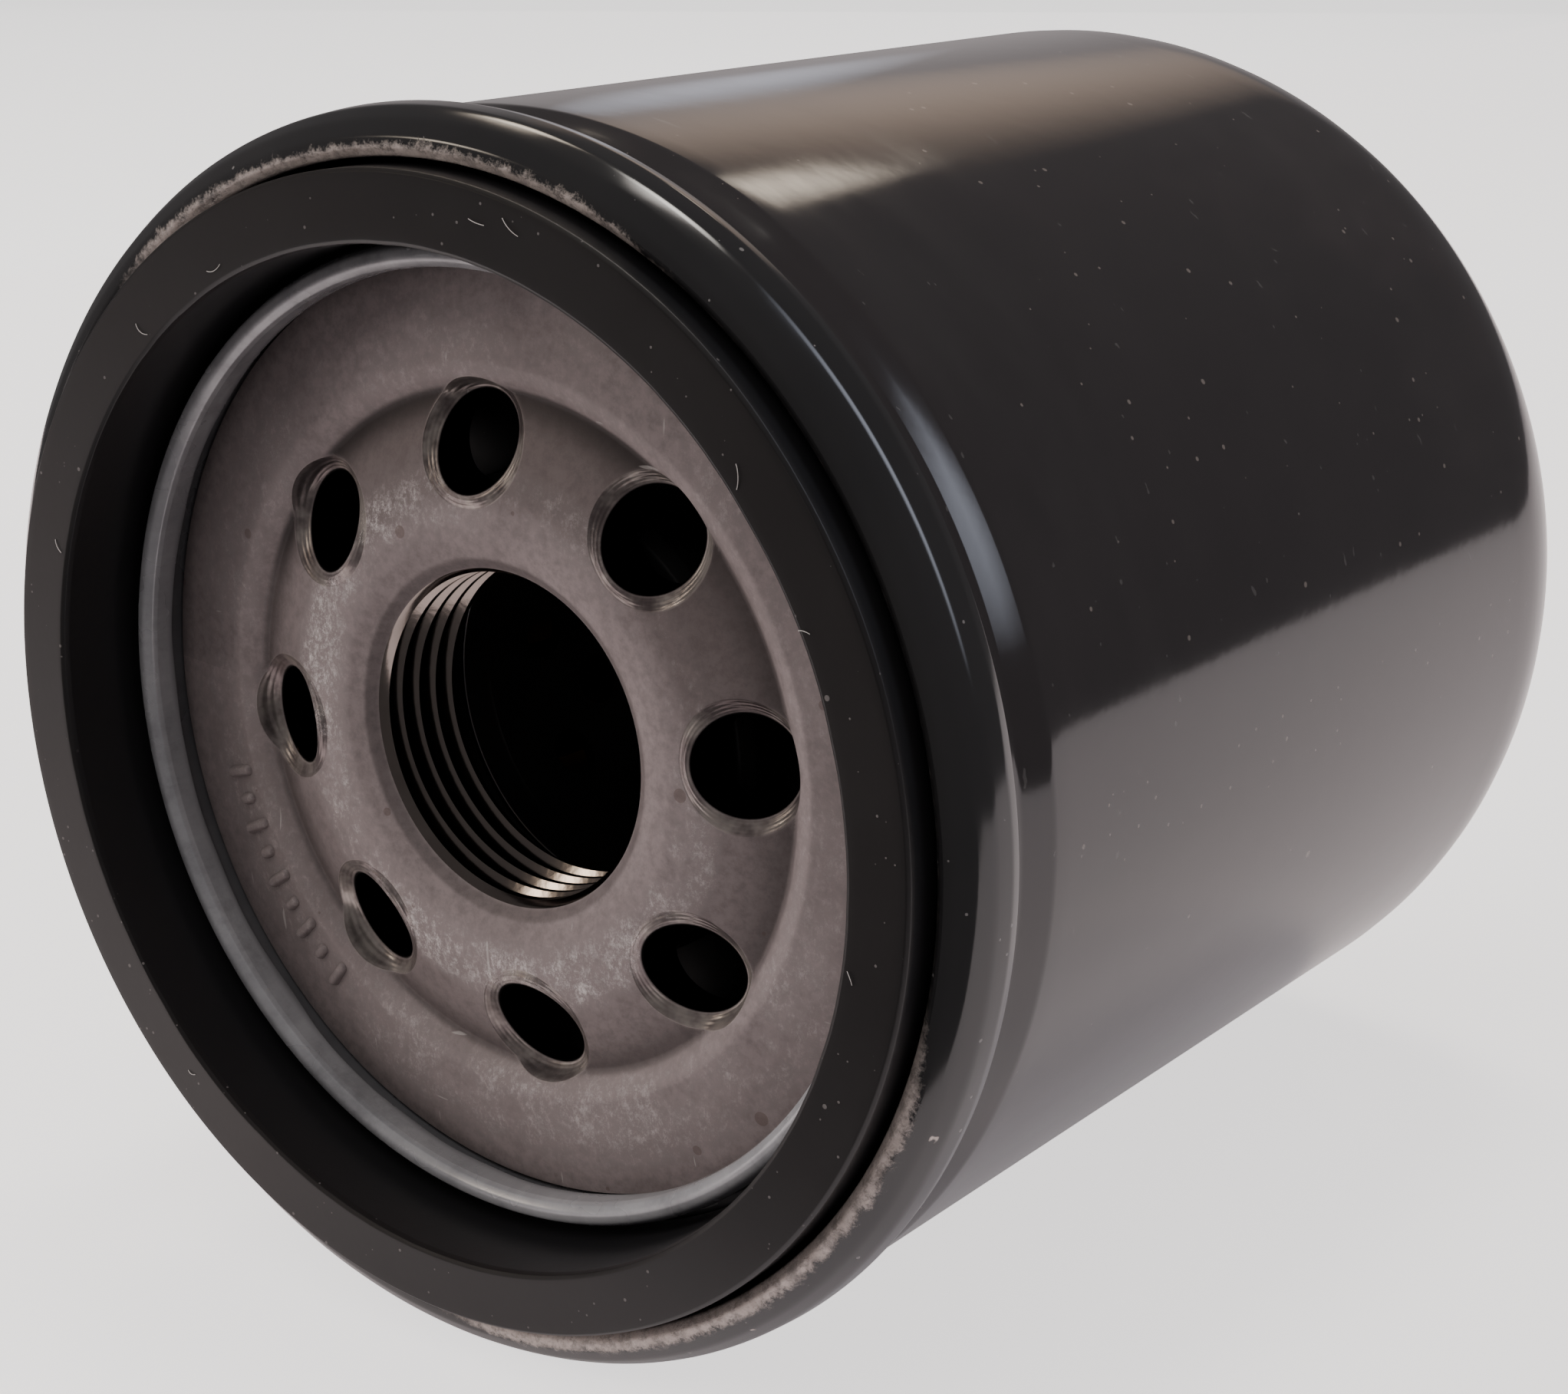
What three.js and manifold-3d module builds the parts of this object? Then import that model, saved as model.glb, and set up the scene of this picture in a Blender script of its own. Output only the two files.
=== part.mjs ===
// Spin-on engine oil filter: a drawn steel can closed by a seamed lid and a threaded tapping plate,
// with its sealing gasket, anti-drain-back valve, pleated element, bypass valve and springs.
//
// Millimetres, +Z up as the filter lies on its side. The filter's axis is Y. The origin is the centre
// of the gasket's sealing face: -Y points out of the threaded end and +Y into the can, to the dome.
// Profiles are written as [radius, depth], where depth is the distance along +Y.

import * as THREE from 'three';
import { mergeVertices } from 'three/addons/utils/BufferGeometryUtils.js';
import Module from 'manifold-3d';

const wasm = await Module();
wasm.setup();

// Overall sizes
const LENGTH = 88;
const CAN_R = 37.67;
const CAN_WALL = 0.6;
const SEAM_R = 38.25;
const SHOULDER_START = 71.2;
const CROWN_EDGE_R = 22.7;
const CROWN_EDGE_Y = 86.3;
const DOME_FLAT_R = 13;

// Gasket groove and gasket
const GASKET_IN_R = 30.7;
const GASKET_OUT_R = 35;
const GASKET_HEIGHT = 8.8;
const GROOVE_FLOOR = 9.1;
const LIP_OUT_R = 30.3;
const LIP_IN_R = 28.75;

// Tapping plate: M22 x 1.5 internal thread and the ring of inlet holes
const THREAD_MAJOR_R = 11;
const THREAD_MINOR_R = 10.19;
const THREAD_PITCH = 1.5;
const BORE_Y = 7.8;
const NECK_END = 15;
const NECK_OUT_R = 13.4;
const INLET_COUNT = 8;
const INLET_R = 3.1;
const INLET_CIRCLE_R = 18.2;
const INLET_PHASE = THREE.MathUtils.degToRad(6);

// Filter element
const ELEMENT_R = 33;
const FRONT_CAP_Y = 19.4;
const REAR_CAP_Y = 73.8;
const CAP_SHEET = 0.8;
const PLEATS = 40;
const PAPER_IN_R = 17;
const PAPER_OUT_R = 31;
const PAPER_SHEET = 0.55;
const TUBE_IN_R = 13.4;
const TUBE_OUT_R = 14.2;

const SHELL_STEPS = 40;
const INNER_STEPS = 28;
const SMALL_STEPS = 20;

const STEEL = { color: 0x8c8584, roughness: 0.55, metalness: 0.85 };
const BRIGHT_STEEL = { color: 0xb4b2b0, roughness: 0.3, metalness: 0.95 };
const BLACK_PAINT = { color: 0x141416, roughness: 0.18, metalness: 0.1 };
const RUBBER = { color: 0x262526, roughness: 0.75, metalness: 0 };
const PAPER = { color: 0xc9a25a, roughness: 0.9, metalness: 0 };
const ADHESIVE = { color: 0x8f2f2a, roughness: 0.6, metalness: 0 };

const filter = new THREE.Group();

function add(name, geometry, finish) {
  const mesh = new THREE.Mesh(geometry, new THREE.MeshStandardMaterial(finish));
  mesh.name = name;
  filter.add(mesh);
}

// A solid of revolution about Y from a profile that closes on itself or ends on the axis.
function revolve(profile, steps) {
  const points = profile.map(([radius, depth]) => new THREE.Vector2(radius, depth));
  return weld(new THREE.LatheGeometry(points, steps));
}

function ring(profile, steps) {
  return revolve([...profile, profile[0]], steps);
}

// Position-only geometry with shared vertices, no collapsed triangles, and its faces pointing out.
function weld(geometry) {
  geometry.deleteAttribute('normal');
  geometry.deleteAttribute('uv');
  const merged = mergeVertices(geometry, 1e-5);
  const source = merged.index.array;
  const position = merged.attributes.position;
  const kept = [];
  let volume = 0;
  const [a, b, c] = [new THREE.Vector3(), new THREE.Vector3(), new THREE.Vector3()];
  for (let i = 0; i < source.length; i += 3) {
    const [p, q, r] = [source[i], source[i + 1], source[i + 2]];
    if (p === q || q === r || r === p) continue;
    kept.push(p, q, r);
    a.fromBufferAttribute(position, p);
    b.fromBufferAttribute(position, q);
    c.fromBufferAttribute(position, r);
    volume += a.dot(b.cross(c));
  }
  if (volume < 0) kept.reverse();
  const result = new THREE.BufferGeometry();
  result.setAttribute('position', position);
  result.setIndex(kept);
  return result;
}

function toManifold(geometry) {
  const mesh = new wasm.Mesh({
    numProp: 3,
    vertProperties: new Float32Array(geometry.attributes.position.array),
    triVerts: new Uint32Array(geometry.index.array),
  });
  return new wasm.Manifold(mesh);
}

function cut(body, tools) {
  let solid = toManifold(body);
  for (const tool of tools) solid = solid.subtract(toManifold(tool));
  const mesh = solid.getMesh();
  const result = new THREE.BufferGeometry();
  result.setAttribute('position', new THREE.BufferAttribute(new Float32Array(mesh.vertProperties), 3));
  result.setIndex(Array.from(mesh.triVerts));
  return result;
}

// A post of radius r along Y, centred at polar position (circleR, angle) and spanning two depths.
function post(r, circleR, angle, y0, y1, steps) {
  const geometry = new THREE.CylinderGeometry(r, r, y1 - y0, steps);
  geometry.translate(circleR * Math.cos(angle), (y0 + y1) / 2, circleR * Math.sin(angle));
  return weld(geometry);
}

// The V-shaped groove of an internal thread, swept as a helix about Y.
function threadGroove(y0, turns, stepsPerTurn) {
  const innerR = THREAD_MINOR_R - 0.3;
  const rootHalf = THREAD_PITCH / 16;
  const mouthHalf = rootHalf + (THREAD_MAJOR_R - innerR) * Math.tan(Math.PI / 6);
  const section = [
    [innerR, -mouthHalf],
    [THREAD_MAJOR_R, -rootHalf],
    [THREAD_MAJOR_R, rootHalf],
    [innerR, mouthHalf],
  ];
  const sides = section.length;
  const count = turns * stepsPerTurn;
  const positions = [];
  const index = [];
  for (let i = 0; i <= count; i += 1) {
    const angle = (2 * Math.PI * i) / stepsPerTurn;
    const rise = (THREAD_PITCH * i) / stepsPerTurn;
    for (const [radius, dy] of section) {
      positions.push(radius * Math.cos(angle), y0 + rise + dy, radius * Math.sin(angle));
    }
  }
  for (let i = 0; i < count; i += 1) {
    for (let k = 0; k < sides; k += 1) {
      const p = i * sides + k;
      const q = i * sides + ((k + 1) % sides);
      index.push(p, q, p + sides, q, q + sides, p + sides);
    }
  }
  const last = count * sides;
  index.push(0, 2, 1, 0, 3, 2, last, last + 1, last + 2, last, last + 2, last + 3);
  const geometry = new THREE.BufferGeometry();
  geometry.setAttribute('position', new THREE.Float32BufferAttribute(positions, 3));
  geometry.setIndex(index);
  return weld(geometry);
}

// A compression spring about Y whose coil radius runs from r0 to r1.
class CoilCurve extends THREE.Curve {
  constructor(r0, r1, y0, y1, turns) {
    super();
    Object.assign(this, { r0, r1, y0, y1, turns });
  }

  getPoint(t, target = new THREE.Vector3()) {
    const angle = 2 * Math.PI * this.turns * t;
    const radius = THREE.MathUtils.lerp(this.r0, this.r1, t);
    const depth = THREE.MathUtils.lerp(this.y0, this.y1, t);
    return target.set(radius * Math.cos(angle), depth, radius * Math.sin(angle));
  }
}

function coil(curve, wireR, sides, stepsPerTurn) {
  const section = new THREE.Shape();
  for (let k = 0; k <= sides; k += 1) {
    const angle = (2 * Math.PI * k) / sides;
    const [x, y] = [wireR * Math.cos(angle), wireR * Math.sin(angle)];
    if (k === 0) section.moveTo(x, y);
    else section.lineTo(x, y);
  }
  const steps = Math.round(curve.turns * stepsPerTurn);
  return weld(new THREE.ExtrudeGeometry(section, { steps, extrudePath: curve, curveSegments: 1 }));
}

// Outer profile of the can from its neck, over the shoulder, to the flat in the middle of the dome.
// inset moves the profile inwards, for the inside of the sheet.
function canProfile(inset) {
  const points = [
    [37.2 - inset, 3.7],
    [37.2 - inset, 5.9],
    [36.95 - inset, 6.6],
    [36.92 - inset, 7.4],
    [37.07 - inset, 8.1 + inset / 3],
    [37.36 - inset, 8.8 + inset / 3],
    [37.58 - inset, 9.4 + inset / 3],
    [CAN_R - inset, 10.2 + inset / 3],
  ];
  const shoulderDepth = CROWN_EDGE_Y - SHOULDER_START;
  const shoulderWidth = CAN_R - CROWN_EDGE_R;
  const arcSteps = 4;
  for (let i = 0; i <= arcSteps; i += 1) {
    const t = (Math.PI / 2) * 0.93 * (i / arcSteps);
    points.push([
      CROWN_EDGE_R + (shoulderWidth - inset) * Math.cos(t),
      SHOULDER_START + (shoulderDepth - inset) * Math.sin(t),
    ]);
  }
  points.push([CROWN_EDGE_R - 3.2, CROWN_EDGE_Y + 1.05 - inset]);
  points.push([DOME_FLAT_R, LENGTH - inset]);
  points.push([0, LENGTH - inset]);
  return points;
}

function canister() {
  const outside = canProfile(0);
  const inside = canProfile(CAN_WALL).reverse();
  add('canister', ring([...outside, ...inside], SHELL_STEPS), BLACK_PAINT);
}

function seamingLid() {
  const profile = [
    [37.55, 5.75],
    [38.12, 5.75],
    [SEAM_R, 4.8],
    [38.1, 3.6],
    [37.6, 2.5],
    [37.0, 1.85],
    [36.2, 1.5],
    [35.6, 1.75],
    [35.34, 2.5],
    [35.34, GROOVE_FLOOR],
    [LIP_OUT_R, GROOVE_FLOOR],
    [LIP_OUT_R, 5.9],
    [29.95, 5.35],
    [29.45, 5.25],
    [LIP_IN_R, 5.8],
    [LIP_IN_R, 7.4],
    [29.5, 7.4],
    [29.5, 9.7],
    [35.84, 9.7],
    [35.84, 3.0],
    [36.2, 2.35],
    [36.8, 2.5],
    [37.25, 3.0],
    [37.55, 4.0],
  ];
  add('seaming_lid', ring(profile, SHELL_STEPS), BLACK_PAINT);
}

// The boss round the bore is the proudest ring. Outside it the plate dishes down to a crease, then steps up.
function tappingPlate() {
  const boreChamfer = 0.5;
  const profile = [
    [THREAD_MINOR_R, BORE_Y + boreChamfer],
    [10.6, BORE_Y],
    [11.3, 7.3],
    [12.5, 6.88],
    [13.7, 6.78],
    [15.2, 6.9],
    [16.8, 7.2],
    [18.6, 7.68],
    [21.2, 8.66],
    [22.0, 8.1],
    [22.9, 7.75],
    [25.5, 7.9],
    [29.2, 8.5],
    [29.2, 10],
    [34.8, 10],
    [34.8, 13],
    [28.8, 13],
    [27.4, 11.1],
    [23.4, 10.8],
    [21.6, 11.6],
    [19.6, 11.1],
    [16.4, 10.2],
    [14.6, 10.0],
    [NECK_OUT_R, 10.8],
    [NECK_OUT_R, NECK_END - 0.4],
    [NECK_OUT_R - 0.4, NECK_END],
    [THREAD_MINOR_R + 0.7, NECK_END],
    [THREAD_MINOR_R, NECK_END - boreChamfer],
  ];
  const holes = [];
  for (let k = 0; k < INLET_COUNT; k += 1) {
    const angle = INLET_PHASE + (2 * Math.PI * k) / INLET_COUNT;
    holes.push(post(INLET_R, INLET_CIRCLE_R, angle, 0, 20, 16));
  }
  const plate = cut(ring(profile, SHELL_STEPS), [...holes, threadGroove(BORE_Y - 1, 6, 20)]);
  add('tapping_plate', plate, STEEL);
}

function sealingGasket() {
  const edge = 0.35;
  const profile = [
    [GASKET_IN_R, edge],
    [GASKET_IN_R + edge, 0],
    [GASKET_OUT_R - edge, 0],
    [GASKET_OUT_R, edge],
    [GASKET_OUT_R, GASKET_HEIGHT],
    [GASKET_IN_R, GASKET_HEIGHT],
  ];
  add('sealing_gasket', ring(profile, SHELL_STEPS), RUBBER);
}

// The rubber anti-drain-back valve: a collar on the plate's neck, and the cone that lifts off the plate.
function antiDrainValve() {
  const collarIn = NECK_OUT_R + 0.3;
  const collar = [
    [collarIn, 11.2],
    [15.2, 11.2],
    [15.7, 11.9],
    [15.7, 16.6],
    [15.2, 17.2],
    [11.9, 17.2],
    [11.9, 15.3],
    [collarIn, 15.3],
  ];
  const flap = [
    [16, 15.2],
    [26.2, 11.6],
    [27.0, 11.6],
    [27.0, 12.4],
    [21, 14.9],
    [16, 16.8],
  ];
  add('antidrain_collar', ring(collar, INNER_STEPS), RUBBER);
  add('antidrain_flap', ring(flap, INNER_STEPS), RUBBER);
}

function endCaps() {
  const rimDepth = 4.2;
  const front = [
    [12.4, 17.5],
    [13.2, 17.5],
    [13.2, FRONT_CAP_Y],
    [ELEMENT_R, FRONT_CAP_Y],
    [ELEMENT_R, FRONT_CAP_Y + rimDepth],
    [ELEMENT_R - CAP_SHEET, FRONT_CAP_Y + rimDepth],
    [ELEMENT_R - CAP_SHEET, FRONT_CAP_Y + CAP_SHEET],
    [12.4, FRONT_CAP_Y + CAP_SHEET],
  ];
  const rearOut = REAR_CAP_Y + CAP_SHEET;
  const rear = [
    [8.5, REAR_CAP_Y],
    [ELEMENT_R - CAP_SHEET, REAR_CAP_Y],
    [ELEMENT_R - CAP_SHEET, rearOut - rimDepth],
    [ELEMENT_R, rearOut - rimDepth],
    [ELEMENT_R, rearOut],
    [8.5, rearOut],
  ];
  add('end_cap_front', ring(front, INNER_STEPS), STEEL);
  add('end_cap_rear', ring(rear, INNER_STEPS), STEEL);
}

function potting() {
  const inner = TUBE_OUT_R + 0.3;
  const outer = ELEMENT_R - CAP_SHEET - 0.3;
  const front0 = FRONT_CAP_Y + CAP_SHEET + 0.3;
  const rear1 = REAR_CAP_Y - 0.3;
  const depth = 2;
  const band = (y0, y1) => [[inner, y0], [outer, y0], [outer, y1], [inner, y1]];
  add('potting_front', ring(band(front0, front0 + depth), INNER_STEPS), ADHESIVE);
  add('potting_rear', ring(band(rear1 - depth, rear1), INNER_STEPS), ADHESIVE);
}

// One closed star of folded paper, and the metal clip that joins the sheet's two ends in one valley.
function media() {
  const y0 = FRONT_CAP_Y + CAP_SHEET + 2.6;
  const y1 = REAR_CAP_Y - 2.6;
  const star = (inset) => {
    const points = [];
    for (let k = 0; k < PLEATS; k += 1) {
      const crest = (2 * Math.PI * k) / PLEATS;
      const valley = crest + Math.PI / PLEATS;
      points.push([PAPER_OUT_R - 2 * inset, crest], [PAPER_IN_R - 2 * inset, valley]);
    }
    return points.map(([r, a]) => new THREE.Vector2(r * Math.cos(a), r * Math.sin(a)));
  };
  const shape = new THREE.Shape(star(0));
  shape.holes.push(new THREE.Path(star(PAPER_SHEET)));
  const sheet = new THREE.ExtrudeGeometry(shape, { depth: y1 - y0, bevelEnabled: false });
  sheet.rotateX(-Math.PI / 2);
  sheet.translate(0, y0, 0);
  add('pleated_media', weld(sheet), PAPER);

  const clip = new THREE.BoxGeometry(2.2, y1 - y0 - 4, 0.8);
  clip.translate(PAPER_OUT_R - 1.4, (y0 + y1) / 2, 0);
  clip.rotateY(Math.PI / PLEATS);
  add('media_seam_clip', weld(clip), BRIGHT_STEEL);
}

function centerTube() {
  const y0 = FRONT_CAP_Y + CAP_SHEET + 0.3;
  const y1 = REAR_CAP_Y - 0.3;
  const wall = [[TUBE_IN_R, y0], [TUBE_OUT_R, y0], [TUBE_OUT_R, y1], [TUBE_IN_R, y1]];
  const drills = [];
  const rows = 4;
  for (let row = 0; row < rows; row += 1) {
    for (let k = 0; k < 3; k += 1) {
      const drill = new THREE.CylinderGeometry(2, 2, 2 * TUBE_OUT_R + 4, 6);
      drill.rotateX(Math.PI / 2);
      drill.rotateY((Math.PI * (k + (row % 2) / 2)) / 3);
      drill.translate(0, THREE.MathUtils.lerp(y0 + 7, y1 - 16, row / (rows - 1)), 0);
      drills.push(weld(drill));
    }
  }
  add('center_tube', cut(ring(wall, INNER_STEPS), drills), STEEL);
}

// Bypass valve: a seat under the rear cap, and a sprung disc in a cage that opens towards the outlet.
function bypassValve() {
  const seat = [[5.5, 72.6], [13.0, 72.6], [13.0, 73.5], [5.5, 73.5]];
  const washer = [[4.4, 71.4], [8.2, 71.4], [8.2, 72.3], [4.4, 72.3]];
  const disc = [[0, 56], [1, 56], [1.2, 56.4], [1.2, 70.2], [7.8, 70.2], [7.8, 71.1], [0, 71.1]];
  const cage = [
    [1.6, 59.2],
    [9.4, 59.2],
    [10.2, 60],
    [10.2, 71.4],
    [13.0, 71.4],
    [13.0, 72.3],
    [9.4, 72.3],
    [9.4, 60.4],
    [9, 60],
    [1.6, 60],
  ];
  const windows = [0, 1].map((k) => {
    const slot = new THREE.BoxGeometry(30, 7.5, 8);
    slot.rotateY((Math.PI * k) / 2);
    slot.translate(0, 65.8, 0);
    return weld(slot);
  });
  const spring = new CoilCurve(5, 5, 60.9, 69.3, 4.5);
  add('bypass_seat', ring(seat, SMALL_STEPS), BRIGHT_STEEL);
  add('bypass_washer', ring(washer, SMALL_STEPS), RUBBER);
  add('bypass_disc', revolve(disc, SMALL_STEPS), BRIGHT_STEEL);
  add('bypass_cage', cut(ring(cage, SMALL_STEPS), windows), STEEL);
  add('bypass_spring', coil(spring, 0.45, 6, 12), BRIGHT_STEEL);
}

// The spring that holds the element against the plate, and the pressed cup that centres it.
function holdDown() {
  const cupY = REAR_CAP_Y + CAP_SHEET + 0.3;
  const cup = [
    [10.5, cupY],
    [20, cupY],
    [20, cupY + 1.8],
    [19.2, cupY + 1.8],
    [19.2, cupY + 0.8],
    [11.3, cupY + 0.8],
    [11.3, cupY + 3.4],
    [10.5, cupY + 3.4],
  ];
  const wireR = 1;
  const spring = new CoilCurve(16.2, 13.6, cupY + 2.2, LENGTH - CAN_WALL - wireR - 0.7, 3.25);
  add('spring_guide', ring(cup, INNER_STEPS), STEEL);
  add('hold_down_spring', coil(spring, wireR, 6, 20), BRIGHT_STEEL);
}

canister();
seamingLid();
tappingPlate();
sealingGasket();
antiDrainValve();
endCaps();
potting();
media();
centerTube();
bypassValve();
holdDown();

export default filter;
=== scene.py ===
import math
import random

import bmesh
import bpy
import numpy as np
from mathutils import Euler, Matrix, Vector, noise
from mathutils.geometry import delaunay_2d_cdt


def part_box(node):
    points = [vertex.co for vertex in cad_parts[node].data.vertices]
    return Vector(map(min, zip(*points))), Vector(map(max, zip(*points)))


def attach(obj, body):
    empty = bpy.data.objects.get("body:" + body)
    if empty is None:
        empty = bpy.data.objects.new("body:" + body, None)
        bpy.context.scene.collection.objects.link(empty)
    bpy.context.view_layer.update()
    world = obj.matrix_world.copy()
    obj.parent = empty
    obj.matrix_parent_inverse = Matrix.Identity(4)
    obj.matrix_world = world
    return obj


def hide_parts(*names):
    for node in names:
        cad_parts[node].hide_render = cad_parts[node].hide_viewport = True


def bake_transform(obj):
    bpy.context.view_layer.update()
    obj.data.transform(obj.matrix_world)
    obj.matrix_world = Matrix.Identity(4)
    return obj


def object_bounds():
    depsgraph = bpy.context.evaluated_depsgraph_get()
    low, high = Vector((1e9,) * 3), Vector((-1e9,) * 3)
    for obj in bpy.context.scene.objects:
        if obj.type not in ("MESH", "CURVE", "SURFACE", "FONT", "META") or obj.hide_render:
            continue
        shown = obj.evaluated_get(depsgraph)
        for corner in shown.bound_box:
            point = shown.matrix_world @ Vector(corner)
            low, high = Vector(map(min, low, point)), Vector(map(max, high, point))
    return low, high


# Looks for a spin-on oil filter lying on its side. The frame's axis of the filter is Y, with the threaded
# end at y = 0 facing -Y and the dome at +Y. Profiles are (radius, depth, corner radius) in millimetres.

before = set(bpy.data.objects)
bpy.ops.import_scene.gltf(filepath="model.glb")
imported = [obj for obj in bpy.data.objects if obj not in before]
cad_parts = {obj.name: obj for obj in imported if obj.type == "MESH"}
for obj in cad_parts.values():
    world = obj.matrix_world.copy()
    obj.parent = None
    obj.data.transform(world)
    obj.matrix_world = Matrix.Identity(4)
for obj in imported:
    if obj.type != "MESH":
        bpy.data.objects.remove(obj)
cad_low, cad_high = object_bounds()

MM = 0.001
TAU = 2 * math.pi
random.seed(7)

PITCH = 1.5
THREAD_MINOR_R = 10.19
THREAD_MAJOR_R = 11.0
THREAD_START_Y = 8.2
THREAD_TURNS = 5
BORE_R = 10.6
NECK_R = 13.4
CREASE_R = 21.2
HOLES = 8
HOLE_R = 3.05
HOLE_ROLL = 1.0
HOLE_RING_R = 18.2
HOLE_TILT = 0.951
HOLE_PHASE = math.radians(6)
SHEET = 0.6
FINE_STEPS = 288
PLATE_STEPS = 384
SMALL_STEPS = 96


def span(node):
    """Lowest and highest depth of a CAD node along Y, and its outer radius, in millimetres."""
    low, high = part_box(node)
    return low.y / MM, high.y / MM, high.z / MM


# ---------------------------------------- geometry


def outline(corners, step=1.5, closed=True):
    """A polygon of (r, y, fillet) corners as dense points, with its corners rounded to arcs."""
    points = []
    count = len(corners)
    for i, (r, y, fillet) in enumerate(corners):
        here = Vector((r, y))
        if not closed and i in (0, count - 1):
            points.append(here)
            continue
        before = Vector(corners[i - 1][:2]) - here
        after = Vector(corners[(i + 1) % count][:2]) - here
        turn = math.pi - before.angle(after)
        if fillet <= 0 or turn < 0.02:
            points.append(here)
            continue
        reach = min(fillet * math.tan(turn / 2), 0.49 * before.length, 0.49 * after.length)
        start = here + before.normalized() * reach
        end = here + after.normalized() * reach
        steps = max(3, round(turn / 0.2))
        for k in range(steps + 1):
            t = k / steps
            points.append(start.lerp(here, t).lerp(here.lerp(end, t), t))
    dense = []
    for i, here in enumerate(points):
        dense.append(here)
        if closed or i < len(points) - 1:
            there = points[(i + 1) % len(points)]
            cuts = int((there - here).length / step)
            dense += [here.lerp(there, (k + 1) / (cuts + 1)) for k in range(cuts)]
    return [(p.x, p.y) for p in dense]


def make_object(name, vertices, faces, materials, sharp=32):
    """A mesh object from vertices in millimetres, shaded smooth except across sharp edges."""
    mesh = bpy.data.meshes.new(name)
    mesh.from_pydata([Vector(v) * MM for v in vertices], [], faces)
    bm = bmesh.new()
    bm.from_mesh(mesh)
    bmesh.ops.remove_doubles(bm, verts=bm.verts, dist=1e-7)
    bmesh.ops.recalc_face_normals(bm, faces=bm.faces)
    bm.to_mesh(mesh)
    bm.free()
    for material in materials:
        mesh.materials.append(material)
    obj = bpy.data.objects.new(name, mesh)
    bpy.context.scene.collection.objects.link(obj)
    shade(obj, sharp)
    return obj


def shade(obj, sharp):
    obj.data.shade_smooth()
    obj.data.set_sharp_from_angle(angle=math.radians(sharp))


def lathe_mesh(profile, steps, warp=None, closed=True):
    """Vertices and faces of a profile turned about Y. warp(r, y, angle) may move each point."""
    vertices = []
    for k in range(steps):
        angle = TAU * k / steps
        for r, y in profile:
            if warp:
                r, y = warp(r, y, angle)
            vertices.append((r * math.cos(angle), y, r * math.sin(angle)))
    rows = len(profile)
    links = rows if closed else rows - 1
    faces = []
    for k in range(steps):
        here, there = k * rows, ((k + 1) % steps) * rows
        for i in range(links):
            j = (i + 1) % rows
            faces.append((here + i, here + j, there + j, there + i))
    return vertices, faces


def band_faces(a, b, count):
    """Quads between two closed rings of count vertices that start at a and b."""
    return [(a + i, a + (i + 1) % count, b + (i + 1) % count, b + i) for i in range(count)]


def tube_faces(rows, count):
    """Quads along a tube of rings, and a face over each of its ends."""
    faces = []
    for row in range(rows - 1):
        faces += band_faces(row * count, (row + 1) * count, count)
    total = rows * count
    return faces + [tuple(range(count)), tuple(range(total - 1, total - count - 1, -1))]


def lathe(name, corners, materials, steps=SMALL_STEPS, warp=None, step=1.5, closed=True, sharp=32):
    vertices, faces = lathe_mesh(outline(corners, step, closed), steps, warp, closed)
    return make_object(name, vertices, faces, materials, sharp)


def sweep(points, section):
    """A tube along points, with the section (side, up) set across the path; up is the Y axis."""
    vertices = []
    count = len(points)
    for i, point in enumerate(points):
        ahead = Vector(points[min(i + 1, count - 1)])
        behind = Vector(points[max(i - 1, 0)])
        along = (ahead - behind).normalized()
        side = along.cross(Vector((0, 1, 0))).normalized()
        up = side.cross(along)
        vertices += [Vector(point) + side * s + up * u for s, u in section]
    return vertices, tube_faces(count, len(section))


def circle_section(radius, sides=16):
    return [(radius * math.cos(TAU * k / sides), radius * math.sin(TAU * k / sides)) for k in range(sides)]


def cut(obj, cutters, sharp=32):
    """Takes the cutters, (vertices, faces) pairs, out of obj."""
    tools = [make_object(f"cutter_{i}", v, f, []) for i, (v, f) in enumerate(cutters)]
    for tool in tools:
        modifier = obj.modifiers.new("cut", "BOOLEAN")
        modifier.operation = "DIFFERENCE"
        modifier.solver = "MANIFOLD"
        modifier.object = tool
    graph = bpy.context.evaluated_depsgraph_get()
    result = bpy.data.meshes.new_from_object(obj.evaluated_get(graph), depsgraph=graph)
    obj.modifiers.clear()
    obj.data = result
    for tool in tools:
        bpy.data.meshes.remove(tool.data)
    shade(obj, sharp)


def place(obj, body, nodes):
    """obj rides on a body and stands for the CAD nodes, which it hides."""
    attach(obj, body)
    if nodes:
        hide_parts(*nodes)


# ---------------------------------------- materials


def feed(tree, value, socket):
    """Links a socket to the value, or sets it where the value is a constant."""
    if isinstance(value, bpy.types.NodeSocket):
        tree.links.new(value, socket)
    else:
        socket.default_value = value


def math_node(tree, operation, *values, clamp=False):
    node = tree.nodes.new("ShaderNodeMath")
    node.operation = operation
    node.use_clamp = clamp
    for value, socket in zip(values, node.inputs):
        feed(tree, value, socket)
    return node.outputs[0]


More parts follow.
